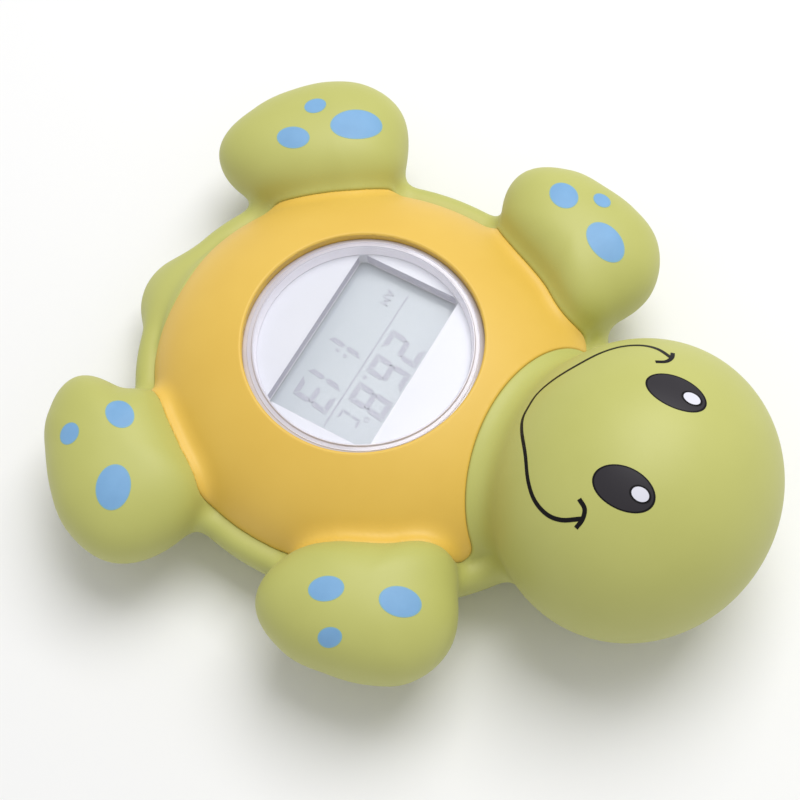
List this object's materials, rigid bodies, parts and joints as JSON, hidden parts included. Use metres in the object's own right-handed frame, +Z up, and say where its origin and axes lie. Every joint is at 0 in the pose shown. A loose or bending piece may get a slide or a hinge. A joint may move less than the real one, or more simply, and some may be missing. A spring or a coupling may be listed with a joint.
{
  "type": "floating bath and pool thermometer",
  "caption": "Floating turtle-shaped water thermometer and clock: hollow green and yellow shells around a sealed round display capsule with a battery door and buttons underneath.",
  "frame": {"origin": "middle of the object's bounding box in plan, on the surface it stands on", "axes": "+Z is up, -Y is where the head points, +Y is the tail, X is across, and the capsule's axis is upright at y = 15 mm"},
  "size_m": [0.1105, 0.1318, 0.0471],
  "materials": {
    "green_soft_plastic": "moulded soft-touch plastic, satin, with printed eyes, mouth and blue spots",
    "yellow_soft_plastic": "moulded soft-touch plastic, satin",
    "white_plastic": "smooth moulded plastic",
    "grey_button_plastic": "moulded plastic",
    "clear_plastic": "clear moulded plastic, polished",
    "display_glass": "liquid crystal display with a grey reflective back",
    "black_rubber": "soft rubber",
    "circuit_board_green": "green lacquered board",
    "black_epoxy": "cast epoxy",
    "stainless_steel": "plain stainless steel",
    "tinned_copper": "enamelled copper wire"
  },
  "bodies": {
    "turtle": {"upper_shell": "green_soft_plastic", "lower_shell": "green_soft_plastic", "carapace": "yellow_soft_plastic", "window_lens": "clear_plastic", "lens_seal": "black_rubber", "bezel_plate": "white_plastic", "lcd_glass": "display_glass", "zebra_strip_front": "black_rubber", "zebra_strip_rear": "black_rubber", "circuit_board": "circuit_board_green", "controller_blob": "black_epoxy", "clock_crystal": "stainless_steel", "board_screw_1": "stainless_steel", "board_screw_2": "stainless_steel", "board_screw_3": "stainless_steel", "board_screw_4": "stainless_steel", "module_cup": "white_plastic", "flange_gasket": "black_rubber", "flange_screw_1": "stainless_steel", "flange_screw_2": "stainless_steel", "flange_screw_3": "stainless_steel", "coin_cell": "stainless_steel", "contact_minus": "stainless_steel", "contact_plus": "stainless_steel", "button_seal_mode": "black_rubber", "button_seal_set": "black_rubber", "tact_switch_mode": "black_epoxy", "tact_switch_set": "black_epoxy", "probe_cap": "stainless_steel", "thermistor": "black_epoxy", "thermistor_lead_a": "tinned_copper", "thermistor_lead_b": "tinned_copper"},
    "door_seal_ring": {"door_seal": "black_rubber"},
    "door": {"battery_door": "white_plastic"},
    "mode_button": {"button_mode": "grey_button_plastic"},
    "set_button": {"button_set": "grey_button_plastic"}
  },
  "joints": [
    {"name": "door_lift", "type": "slide", "parent": "turtle", "child": "door_seal_ring", "axis": [0, 0, -1], "range_m": [0, 0.006]},
    {"name": "door_turn", "type": "hinge", "parent": "door_seal_ring", "child": "door", "pos_m": [0, 0.015, 0.003], "axis": [0, 0, -1], "range_deg": [0, 720]},
    {"name": "mode_button_press", "type": "slide", "parent": "turtle", "child": "mode_button", "axis": [0, 0, 1], "range_m": [0, 0.001], "stiffness_N_per_m": 300, "springref_m": -0.0005},
    {"name": "set_button_press", "type": "slide", "parent": "turtle", "child": "set_button", "axis": [0, 0, 1], "range_m": [0, 0.001], "stiffness_N_per_m": 300, "springref_m": -0.0005}
  ],
  "couplings": [
    {"joint": "door_turn", "follows": "door_lift", "rad_per_m": 2094.4}
  ]
}
